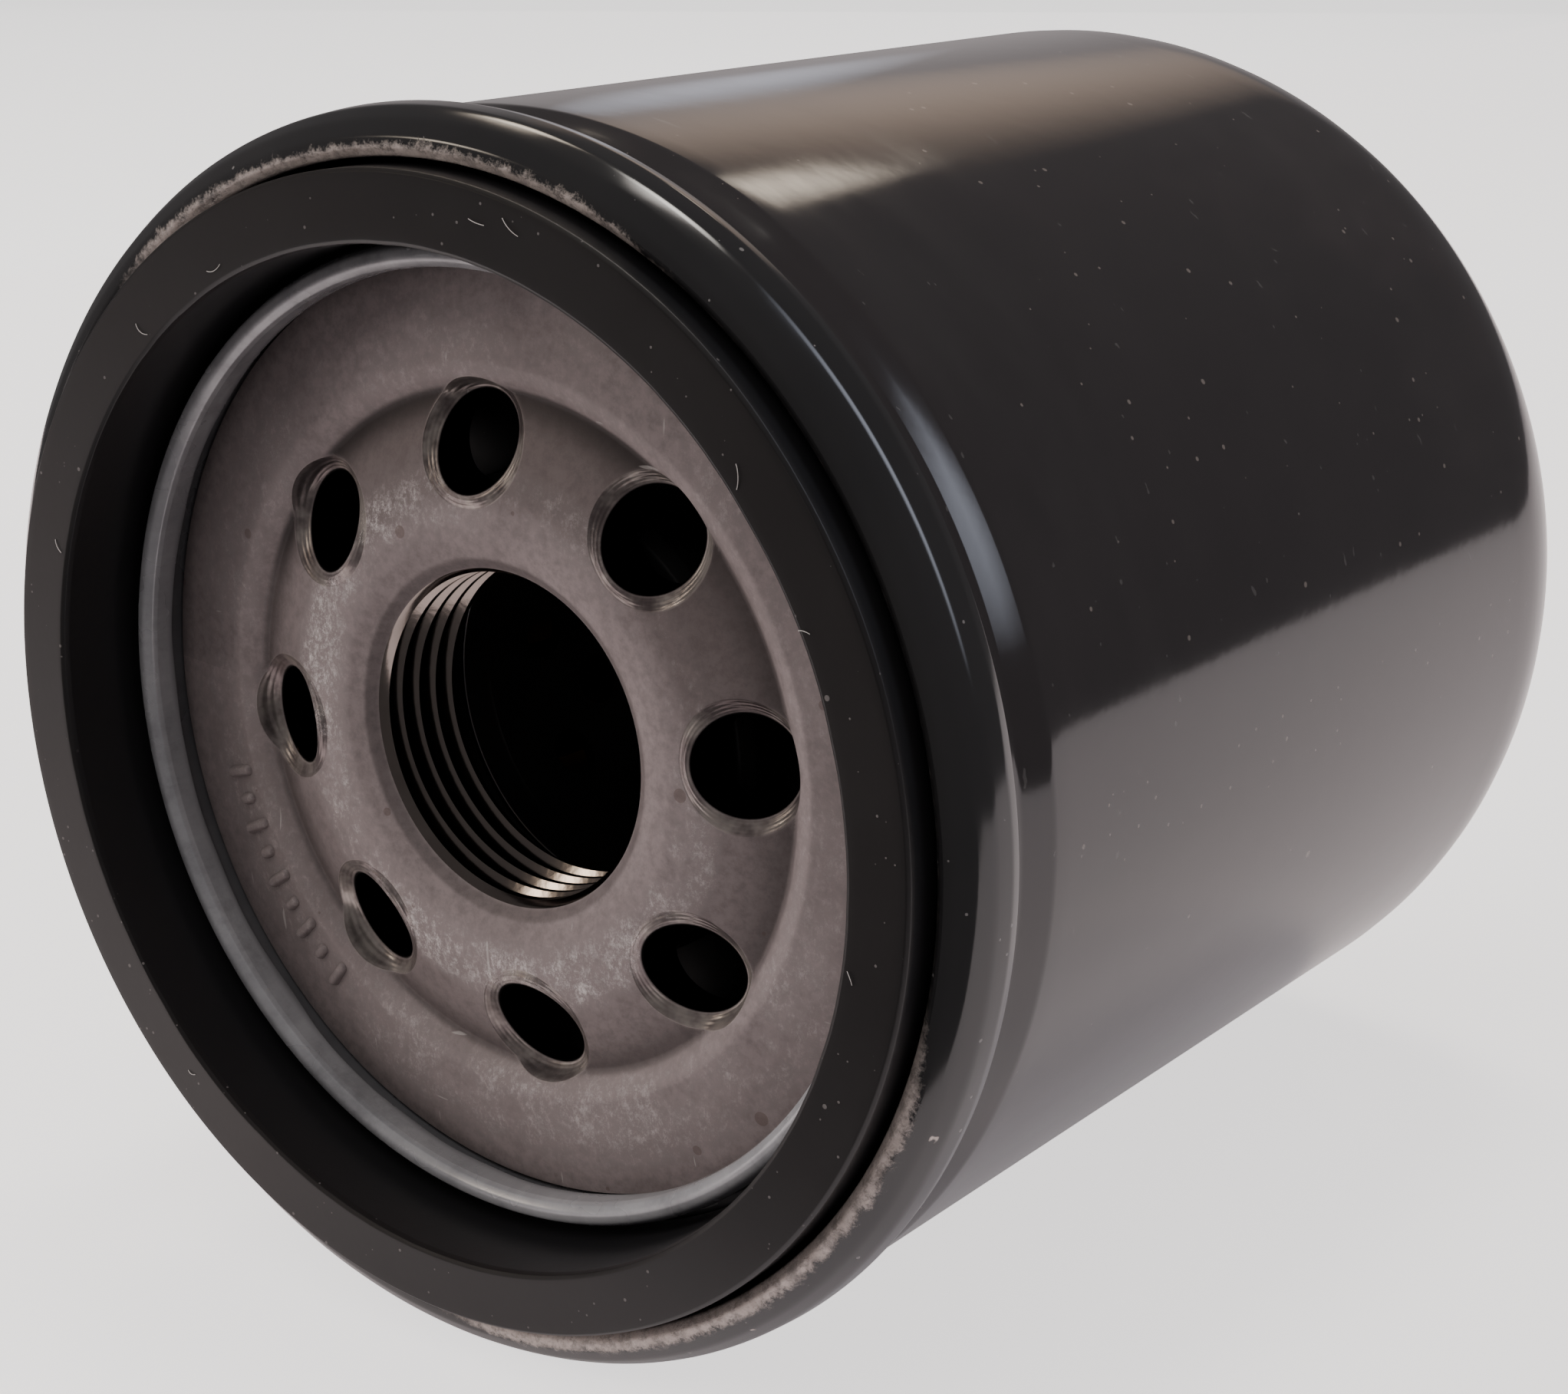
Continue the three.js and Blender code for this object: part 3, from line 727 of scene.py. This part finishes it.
def tapping_plate():
    """Pressed plate: annulus, step, dished ring, boss and threaded neck, with rolled-over inlet holes."""
    edge = 29.2
    front = heights([
        (BORE_R, 7.8, 0), (11.25, 7.3, 0.5), (12.5, 6.9, 2), (13.7, 6.78, 2), (15.2, 6.9, 3),
        (16.8, 7.2, 3), (18.6, 7.68, 3), (CREASE_R, 8.66, 0.15), (22.0, 8.1, 0.6), (22.9, 7.72, 0.8),
        (25.5, 7.9, 4),
        (edge, 8.5, 0),
    ])
    back = heights([
        (BORE_R, 10.8, 0), (NECK_R, 10.8, 0), (14.6, 10.0, 1), (16.4, 10.2, 3), (19.6, 11.1, 2),
        (21.6, 11.6, 1), (23.4, 10.8, 1.2), (27.4, 11.1, 2), (28.8, 13, 0.3), (edge, 13, 0),
    ])
    radii = list(np.arange(BORE_R, edge, 0.33)) + [edge]
    radii += list(np.arange(BORE_R, 12.4, 0.12)) + list(np.arange(20.9, 21.5, 0.05))
    radii += list(np.arange(21.5, 23.4, 0.12))
    radii = sorted(set(round(float(r), 3) for r in radii))
    radii = [r for i, r in enumerate(radii) if i in (0, len(radii) - 1) or r - radii[i - 1] > 0.045]
    radii = [r for r in radii if abs(r - NECK_R) > 0.08]
    centres = list(hole_centres())
    sides = 112

    points, edges = [], []

    def ring_of(curve, steps, closed):
        """Adds a ring of points that lie on a curve, and its edges if the mesh must keep them."""
        first = len(points)
        points.extend(curve(TAU * k / steps) for k in range(steps))
        ring = list(range(first, first + steps))
        if closed:
            edges.extend(zip(ring, ring[1:] + ring[:1]))
        return ring

    def circle(radius):
        return ring_of(lambda a: Vector((radius * math.cos(a), radius * math.sin(a))), PLATE_STEPS, True)

    inner_ring = circle(BORE_R)
    neck_ring = circle(NECK_R)
    outer_ring = circle(edge)
    offsets = [
        0.03, 0.07, 0.12, 0.18, 0.25, 0.33, 0.42, 0.51, 0.6, 0.69, 0.77, 0.84, 0.9, 0.95, 1.0, 1.05,
        1.12, 1.22, 1.36,
    ]
    rings = []
    for centre in centres:
        rings.append(ring_of(lambda a: hole_point(centre, HOLE_R, a), sides, True))
        for extra in offsets:
            ring_of(lambda a: hole_point(centre, HOLE_R + extra, a), sides, False)
    for row, r in enumerate(radii[1:-1]):
        for k in range(PLATE_STEPS):
            angle = TAU * (k + 0.5 * (row % 2)) / PLATE_STEPS
            point = Vector((r * math.cos(angle), r * math.sin(angle)))
            if hole_distance(point, centres) > HOLE_R + offsets[-1] + 0.12:
                points.append(point)
    flat, _, triangles, *_ = delaunay_2d_cdt(points, edges, [], 0, 1e-6)

    def punched(r):
        """Depth of the plane that the holes' edges lie on: the punch tilts them more than the dish."""
        return 8.05 + 0.48 * (r - HOLE_RING_R)

    def front_depth(point):
        """Depth of the front face, which rolls over to the punch's plane at each hole's rim."""
        r = point.length
        near = hole_distance(point, centres)
        t = min(max((HOLE_R + HOLE_ROLL - near) / HOLE_ROLL, 0), 1)
        reach = 0.2 + 0.5 * t
        soft = sum(float(front(r + reach * k / 2)) for k in range(-2, 3)) / 5
        w = min(1, 4 * t)
        level = (1 - w) * float(front(r)) + w * soft
        sunk = level + (punched(r) - level) * (t + 0.25 * math.sin(math.pi * t) * t)
        brink = 0.05 * min(1, t / 0.08)
        wave = 0.03 * noise.noise(Vector((point.x, 0, point.y)) * 0.13)
        return sunk + brink + 0.12 * t ** 8 + wave

    count = len(flat)
    vertices = [(p.x, front_depth(p), p.y) for p in flat]
    vertices += [(p.x, float(back(p.length)), p.y) for p in flat]
    faces = []
    for triangle in triangles:
        centroid = sum((flat[i] for i in triangle), Vector((0, 0))) / 3
        if centroid.length < BORE_R or hole_distance(centroid, centres) < HOLE_R:
            continue
        faces.append(tuple(triangle))
        if centroid.length > NECK_R:
            faces.append(tuple(i + count for i in reversed(triangle)))

    def wall(rows):
        """Quads between successive rings of vertex numbers."""
        for a, b in zip(rows, rows[1:]):
            n = len(a)
            faces.extend((a[k], a[(k + 1) % n], b[(k + 1) % n], b[k]) for k in range(n))

    def turned(corners, ring):
        """Rings that follow a profile, in step with the points of a ring."""
        rows = []
        for r, y in corners:
            rows.append(range(len(vertices), len(vertices) + len(ring)))
            for k in range(len(ring)):
                angle = TAU * k / len(ring)
                vertices.append((r * math.cos(angle), y, r * math.sin(angle)))
        return rows

    for ring, centre in zip(rings, centres):
        rows = [ring]
        for t in (0.06, 0.3, 0.6, 0.94):
            rows.append(range(len(vertices), len(vertices) + sides))
            for k, i in enumerate(ring):
                x, z = hole_point(centre, HOLE_R - 0.04 * math.sin(math.pi * t), TAU * k / sides)
                vertices.append((x, vertices[i][1] * (1 - t) + vertices[i + count][1] * t, z))
        wall(rows + [[i + count for i in ring]])
    rim = [(edge, 10), (29.6, 10.0), (34.6, 10), (34.8, 10.2), (34.8, 12.8), (34.6, 13), (29.6, 13)]
    wall([outer_ring] + turned(rim, outer_ring) + [[i + count for i in outer_ring]])
    neck = [(10.45, 7.95), (THREAD_MINOR_R, 8.3), (THREAD_MINOR_R, 10), (THREAD_MINOR_R, 12),
            (THREAD_MINOR_R, 14.5), (10.89, 15), (13.0, 15), (NECK_R, 14.6), (NECK_R, 12.5)]
    wall([inner_ring] + turned(neck, inner_ring) + [[i + count for i in neck_ring]])
    used = sorted({i for face in faces for i in face})
    number = {old: new for new, old in enumerate(used)}
    faces = [tuple(number[i] for i in face) for face in faces]
    vertices = [vertices[i] for i in used]
    plate = make_object("tapping_plate_steel", vertices, faces, [PLATE, THREAD])
    cut(plate, [thread_cutter()], 28)
    for polygon in plate.data.polygons:
        x, y, z = (c / MM for c in polygon.center)
        polygon.material_index = 1 if math.hypot(x, z) < THREAD_MAJOR_R + 0.05 and y > 7.85 else 0
    place(plate, "shell", ["tapping_plate"])


def stamped_ticks():
    """A short row of plain raised ticks on the plate's annulus."""
    count, row_r, half_width, sides = 9, 24.4, 0.4, 20
    first_angle, step_angle = math.radians(196), math.radians(4.4)
    steps = ((0, 8.0), (0.03, 7.75), (0.1, 7.58), (0.2, 7.47), (0.32, 7.43))
    vertices, faces = [], []
    for k in range(count):
        angle = first_angle + step_angle * k
        reach = 0.7 if k % 2 == 0 else 0.25
        out = Vector((math.cos(angle), math.sin(angle)))
        side = Vector((-math.sin(angle), math.cos(angle)))
        first = len(vertices)
        for inset, y in steps:
            round_r = half_width - inset
            for i in range(sides):
                turn = TAU * i / sides
                along = math.copysign(reach, math.cos(turn)) + round_r * math.cos(turn)
                point = out * (row_r + along) + side * round_r * math.sin(turn)
                vertices.append((point.x, y, point.y))
        faces += [tuple(first + i for i in face) for face in tube_faces(len(steps), sides)]
    ticks = make_object("plate_ticks", vertices, faces, [PLATE], 60)
    place(ticks, "shell", [])


def gasket():
    """The moulded ring, with flash along its inner edge."""
    y0, y1, outer = span("sealing_gasket")
    inner = 30.75
    corners = [
        (inner, y1, 0.3), (inner, 0.5, 0.3), (inner + 0.08, 0.15, 0.1), (inner + 0.3, y0, 0.2),
        (outer - 0.2, y0, 0.15), (outer, 0.22, 0.15), (outer, y1, 0.3),
    ]

    def warp(r, y, angle):
        wave = noise.noise(Vector((3 * math.cos(angle), 3 * math.sin(angle), 0)))
        if r < inner + 0.4:
            r += 0.14 + 0.2 * math.cos(angle - math.radians(252))
            if y < 1:
                r -= 0.05 * max(0, noise.noise(Vector((14 * math.cos(angle), 14 * math.sin(angle), 5))))
        return r + 0.05 * wave, y + (0.03 * wave if y > 0.01 else 0)

    ring = lathe("gasket_ring", corners, [GASKET], FINE_STEPS, warp, 0.6)
    place(ring, "shell", ["sealing_gasket"])


def lint():
    """A few short fibres of dust lying on the gasket."""
    vertices, faces = [], []
    for _ in range(9):
        angle = random.uniform(0, TAU)
        r = random.uniform(31.3, 34.4)
        heading = random.uniform(0, TAU)
        bend = random.uniform(-1.4, 1.4)
        length = random.uniform(0.6, 2.0)
        path = []
        x, z = r * math.cos(angle), r * math.sin(angle)
        for k in range(9):
            path.append((x, -0.03 - 0.05 * math.sin(math.pi * k / 8), z))
            turn = heading + bend * k / 8
            x += length / 8 * math.cos(turn)
            z += length / 8 * math.sin(turn)
        v, f = sweep(path, circle_section(0.022, 6))
        faces += [tuple(i + len(vertices) for i in face) for face in f]
        vertices += v
    fibres = make_object("gasket_lint", vertices, faces, [LINT], 80)
    place(fibres, "shell", [])


def antidrain_valve():
    """One rubber moulding, in two pieces: the collar, which stays on the neck, and the cone."""
    collar = [
        (13.7, 11.2, 0.2), (15.2, 11.2, 0.3), (15.7, 12.2, 0.4), (15.7, 16.4, 0.5), (15.2, 17.2, 0.4),
        (12.6, 17.2, 0.3), (11.9, 16.7, 0.3), (11.9, 15.3, 0.2), (13.7, 15.3, 0.2),
    ]
    cone = [
        (15.75, 15.0, 0.2), (20, 13.9, 2), (25.6, 11.9, 0.8), (26.4, 11.55, 0.3), (27.0, 11.65, 0.25),
        (27.0, 12.3, 0.3), (24.6, 13.2, 1.2), (20, 15.2, 2), (15.75, 16.6, 0.3),
    ]
    fixed = lathe("antidrain_collar_rubber", collar, [VALVE], SMALL_STEPS, None, 0.8)
    place(fixed, "shell", ["antidrain_collar"])
    moving = lathe("antidrain_cone_rubber", cone, [VALVE], SMALL_STEPS, None, 0.6)
    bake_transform(moving)
    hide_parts("antidrain_flap")


def end_caps():
    y0, y1, outer = span("end_cap_front")
    disc = 19.4
    front = [
        (12.4, y0, 0.1), (13.2, y0, 0.2), (13.2, disc, 0.5), (18, disc, 0.6), (18.6, disc + 0.35, 0.6),
        (27, disc + 0.35, 0.6), (27.6, disc, 0.6), (outer, disc, 0.8), (outer, y1, 0.2),
        (outer - 0.8, y1, 0.2), (outer - 0.8, disc + 0.8, 0.4), (12.4, disc + 0.8, 0.6),
    ]
    place(lathe("front_end_cap", front, [PLATED], 144), "element", ["end_cap_front"])
    y0, y1, outer = span("end_cap_rear")
    rear = [
        (8.5, y1 - 0.8, 0.2), (outer - 0.8, y1 - 0.8, 0.4), (outer - 0.8, y0, 0.2), (outer, y0, 0.2),
        (outer, y1, 0.8), (27, y1, 0.6), (26.4, y1 - 0.35, 0.6), (22.6, y1 - 0.35, 0.6), (22, y1, 0.6),
        (8.5, y1, 0.2),
    ]
    place(lathe("rear_end_cap", rear, [PLATED], 144), "element", ["end_cap_rear"])


def potting():
    for node, name in (("potting_front", "front_potting"), ("potting_rear", "rear_potting")):
        y0, y1, outer = span(node)
        corners = [(14.5, y0, 0.3), (outer, y0, 0.3), (outer, y1, 0.6), (14.5, y1, 0.6)]
        ring = lathe(name, corners, [ADHESIVE], 144, ripple(0.12, 0.3), 1.0)
        place(ring, "element", [node])


def media():
    """One closed pleated sheet with rounded folds that lean a little."""
    y0, y1, outer = span("pleated_media")
    pleats, samples, rows = 40, 16, 14
    inner, sheet = 17.2, 0.5
    mid, amplitude = (outer + inner) / 2, (outer - inner) / 2 - sheet / 2
    count = pleats * samples
    vertices = []
    for row in range(rows + 1):
        y = y0 + (y1 - y0) * row / rows
        line = []
        for i in range(count):
            phase = TAU * i / samples
            fold = math.asin(0.97 * math.sin(phase)) / math.asin(0.97)
            angle = TAU * i / count
            lean = 0.012 * noise.noise(Vector((6 * math.cos(angle), 6 * math.sin(angle), y * 0.06)))
            r = mid + amplitude * fold
            line.append(Vector((r * math.cos(angle + lean), r * math.sin(angle + lean))))
        for side in (-0.5, 0.5):
            for i, point in enumerate(line):
                along = (line[(i + 1) % count] - line[i - 1]).normalized()
                offset = Vector((-along.y, along.x)) * side * sheet
                vertices.append((point.x + offset.x, y, point.y + offset.y))
    faces = []
    for row in range(rows):
        for side in (0, 1):
            faces += band_faces((2 * row + side) * count, (2 * row + 2 + side) * count, count)
    for first in (0, 2 * rows * count):
        faces += band_faces(first, first + count, count)
    sheet_piece = make_object("pleated_paper", vertices, faces, [PAPER], 60)
    place(sheet_piece, "element", ["pleated_media"])


def center_tube():
    y0, y1, outer = span("center_tube")
    inner = outer - 0.8
    corners = [(inner, y0, 0.1), (outer, y0, 0.1), (outer, y1, 0.1), (inner, y1, 0.1)]
    tube = lathe("perforated_tube", corners, [PLATED], 144, None, 2)
    rows, per_row, hole_r = 8, 10, 1.7
    start, plain = 6, 21
    vertices, faces = [], []
    for row in range(rows):
        y = y0 + start + (y1 - y0 - plain) * row / (rows - 1)
        for k in range(per_row):
            angle = TAU * (k + 0.5 * (row % 2)) / per_row
            drill, drill_faces = spoke(hole_r, angle, y, inner - 1.5, outer + 1.5)
            faces += [tuple(i + len(vertices) for i in face) for face in drill_faces]
            vertices += drill
    cut(tube, [(vertices, faces)])
    place(tube, "element", ["center_tube"])


def spoke(radius, angle, y, r0, r1, steps=24):
    """A round cutter pointing away from the axis at one angle and depth."""
    out = Vector((math.cos(angle), 0, math.sin(angle)))
    side = Vector((-math.sin(angle), 0, math.cos(angle)))
    vertices = []
    for r in (r0, r1):
        for k in range(steps):
            turn = TAU * k / steps
            across, up = radius * math.cos(turn), y + radius * math.sin(turn)
            vertices.append(out * r + side * across + Vector((0, up, 0)))
    return vertices, tube_faces(2, steps)


def bypass_valve():
    seat = [(5.5, 72.6, 0.2), (13.0, 72.6, 0.2), (13.0, 73.5, 0.2), (7.2, 73.5, 0.3), (5.5, 73.2, 0.2)]
    washer = [(4.4, 71.4, 0.25), (8.2, 71.4, 0.25), (8.2, 72.3, 0.25), (4.4, 72.3, 0.25)]
    disc = [
        (0, 56, 0), (0.9, 56, 0.2), (1.2, 56.5, 0.2), (1.2, 70.0, 0.3), (7.8, 70.2, 0.3),
        (7.8, 71.1, 0.3), (0, 71.1, 0),
    ]
    cage = [
        (1.6, 59.2, 0.2), (9.2, 59.2, 1.0), (10.2, 60.2, 0.8), (10.2, 71.4, 0.3), (13.0, 71.4, 0.2),
        (13.0, 72.3, 0.2), (9.4, 72.3, 0.4), (9.4, 60.6, 0.6), (8.8, 60, 0.4), (1.6, 60, 0.2),
    ]
    place(lathe("bypass_seat_ring", seat, [PLATED]), "element", ["bypass_seat"])
    seal = lathe("bypass_seal", washer, [VALVE], step=0.6)
    place(seal, "bypass_valve", ["bypass_washer"])
    poppet = lathe("bypass_poppet", disc, [PLATED], closed=False)
    place(poppet, "bypass_valve", ["bypass_disc"])
    body = lathe("bypass_cage_cup", cage, [PLATED])
    cut(body, [spoke(3.6, math.pi / 2 * k, 65.8, 8.0, 12.0, 32) for k in range(4)])
    place(body, "element", ["bypass_cage"])


def coil_path(r0, r1, y0, y1, turns, steps=40):
    """A compression spring's centreline, with its end turns closed flat."""
    count = round(turns * steps)
    path = []
    for i in range(count + 1):
        t = i / count
        flat = 0.6 / turns
        rise = min(max((t - flat) / (1 - 2 * flat), 0), 1)
        angle = TAU * turns * t
        r = r0 + (r1 - r0) * t
        path.append((r * math.cos(angle), y0 + (y1 - y0) * rise, r * math.sin(angle)))
    return path


def springs():
    y0, y1, _ = span("bypass_spring")
    wire = 0.45
    path = coil_path(5, 5, y0 + wire, y1 - wire, 5)
    spring = make_object("bypass_coil", *sweep(path, circle_section(wire)), [SPRING], 50)
    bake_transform(spring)
    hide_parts("bypass_spring")
    y0, y1, _ = span("hold_down_spring")
    wire = 1.0
    path = coil_path(16.2, 13.6, y0 + wire, y1 - wire, 3.25, 64)
    spring = make_object("hold_down_coil", *sweep(path, circle_section(wire)), [SPRING], 50)
    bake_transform(spring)
    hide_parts("hold_down_spring")


def spring_guide():
    y0, y1, outer = span("spring_guide")
    corners = [
        (10.5, y0, 0.6), (outer, y0, 0.5), (outer, y0 + 1.8, 0.15), (outer - 0.8, y0 + 1.8, 0.15),
        (outer - 0.8, y0 + 0.8, 0.3), (11.3, y0 + 0.8, 0.3), (11.3, y1, 0.15), (10.5, y1, 0.15),
    ]
    place(lathe("spring_cup", corners, [PLATED], 144), "element", ["spring_guide"])


def seam_clip():
    """The folded metal strip that joins the paper's two ends."""
    low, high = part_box("media_seam_clip")
    centre = (low + high) / 2
    angle = math.atan2(centre.z, centre.x)
    r = math.hypot(centre.x, centre.z) / MM
    y0, y1 = low.y / MM, high.y / MM
    out = Vector((math.cos(angle), 0, math.sin(angle)))
    side = Vector((-math.sin(angle), 0, math.cos(angle)))
    section = [(-1.1, -0.4), (0.9, -0.4), (1.1, -0.2), (1.1, 0.2), (0.9, 0.4), (-1.1, 0.4), (-1.1, 0.15),
               (0.6, 0.15), (0.7, 0), (0.6, -0.15), (-1.1, -0.15)]
    rows = 24
    vertices = []
    for i in range(rows + 1):
        y = y0 + (y1 - y0) * i / rows
        vertices += [out * (r + a) + side * b + Vector((0, y, 0)) for a, b in section]
    clip = make_object("paper_clip", vertices, tube_faces(rows + 1, len(section)), [PLATED], 40)
    place(clip, "element", ["media_seam_clip"])


# ---------------------------------------- stage


def stage():
    """A pale table under the filter's lowest line, and the smaller part of it that the gloss reflects."""
    seen = flat_table("table", ((-3, -3), (3, -3), (3, 3), (-3, 3)), 0, TABLE)
    seen.visible_glossy = False
    seen.visible_diffuse = False
    left, right, front, rear = -0.35, 0.28, -0.02, 3
    border = ((left, -0.23), (0, front), (right, front), (right, rear), (left, rear))
    mirrored = flat_table("table_reflected", border, 0.1, TABLE_MIRRORED)
    mirrored.visible_camera = False
    mirrored.visible_shadow = False


def flat_table(name, border, lift, material):
    vertices = [(x / MM, y / MM, lift) for x, y in border]
    table = make_object(name, vertices, [tuple(range(len(border)))], [material])
    table.location = (0, 0, cad_low.z)
    return table


def area_light(name, direction, distance, size, radiance, color=(1, 1, 1)):
    """A softbox seen from the filter in the given direction, turned towards it."""
    data = bpy.data.lights.new(name, "AREA")
    data.shape = "RECTANGLE"
    data.size, data.size_y = size
    data.energy = radiance * math.pi * size[0] * size[1]
    data.color = color
    fade_edges(data)
    light = bpy.data.objects.new(name, data)
    away = Vector(direction).normalized()
    light.location = Vector((0, 0.03, 0)) + away * distance
    light.rotation_euler = away.to_track_quat("Z", "Y").to_euler()
    bpy.context.scene.collection.objects.link(light)
    return light


def fade_edges(data):
    """Makes a softbox brightest in its middle and dark at its edges."""
    data.use_nodes = True
    tree = data.node_tree
    split = tree.nodes.new("ShaderNodeSeparateXYZ")
    feed(tree, tree.nodes.new("ShaderNodeNewGeometry").outputs["Parametric"], split.inputs[0])
    arches = []
    for along in split.outputs[:2]:
        back = math_node(tree, "SUBTRACT", 1.0, along)
        arches.append(math_node(tree, "MULTIPLY", math_node(tree, "MULTIPLY", along, back), 4.0))
    feed(tree, math_node(tree, "MULTIPLY", *arches), tree.nodes["Emission"].inputs["Strength"])


def lights():
    """A window on the right, a soft panel on the left, small warm lamps round about, and fill."""
    warm, cool = (1.0, 0.86, 0.70), (0.80, 0.85, 1.0)
    area_light("right_window", (0.69, 0.17, 0.655), 0.9, (0.3, 1.1), 5, cool)
    area_light("ceiling", (-0.05, 0.17, 0.98), 1.2, (0.4, 0.4), 18, (1, 0.95, 0.88))
    area_light("left_lamp", (-0.48, 0.29, 0.83), 1.0, (0.28, 0.28), 12, warm)
    area_light("rear_lamp", (-0.25, 0.768, 0.59), 0.9, (0.12, 0.07), 6, warm)
    area_light("rear_panel", (-0.40, 0.80, 0.44), 0.9, (0.42, 0.3), 0.68, (1, 0.72, 0.52))
    area_light("rear_window", (-0.58, 0.77, 0.24), 0.9, (0.14, 0.2), 0.7, cool)
    area_light("rear_wall", (-0.56, 0.80, 0.20), 1.0, (0.8, 0.8), 0.36, (1, 0.9, 0.9))
    area_light("front_lamp", (-0.62, -0.65, 0.43), 0.9, (0.16, 0.16), 12, warm)
    panel = area_light("left_panel", (-0.87, -0.48, 0.08), 0.8, (0.7, 0.34), 24, (1, 0.94, 0.92))
    fill = area_light("floor_fill", (0.1, -0.5, 0.9), 1.5, (2.0, 1.7), 2.9, (1, 0.97, 0.95))
    for light in (panel, fill):
        light.visible_glossy = False
    surroundings()


def surroundings():
    """A dim room to the filter, and a pale backdrop to the camera."""
    world = bpy.data.worlds.new("studio")
    world.use_nodes = True
    tree = world.node_tree
    dim = tree.nodes["Background"]
    dim.inputs["Color"].default_value = (0.95, 0.9, 0.92, 1)
    pale = tree.nodes.new("ShaderNodeBackground")
    pale.inputs["Color"].default_value = (1, 1, 1, 1)
    pale.inputs["Strength"].default_value = 2.4
    ray = tree.nodes.new("ShaderNodeLightPath").outputs
    in_gloss, more_in_diffuse = 0.115, 0.3
    level = math_node(tree, "MULTIPLY_ADD", ray["Is Diffuse Ray"], more_in_diffuse, in_gloss)
    feed(tree, level, dim.inputs["Strength"])
    mix = tree.nodes.new("ShaderNodeMixShader")
    for i, value in enumerate((ray["Is Camera Ray"], dim.outputs[0], pale.outputs[0])):
        feed(tree, value, mix.inputs[i])
    feed(tree, mix.outputs[0], tree.nodes["World Output"].inputs["Surface"])
    bpy.context.scene.world = world


def camera():
    """Close to the threaded end, 37 degrees round to its right and 17 degrees above."""
    yaw, pitch = math.radians(37.0), math.radians(17.32)
    data = bpy.data.cameras.new("photo_camera")
    data.sensor_width = 36
    data.lens = 68.8
    data.clip_start = 0.005
    data.clip_end = 20
    view = bpy.data.objects.new("photo_camera", data)
    view.location = (0.1168, -0.1193, 0.0563)
    view.rotation_euler = Euler((math.pi / 2 - pitch, 0, yaw))
    bpy.context.scene.collection.objects.link(view)
    bpy.context.scene.camera = view


canister()
seaming_lid()
tapping_plate()
stamped_ticks()
gasket()
lint()
antidrain_valve()
end_caps()
potting()
media()
center_tube()
bypass_valve()
springs()
spring_guide()
seam_clip()
stage()
lights()
camera()

bpy.context.view_layer.update()
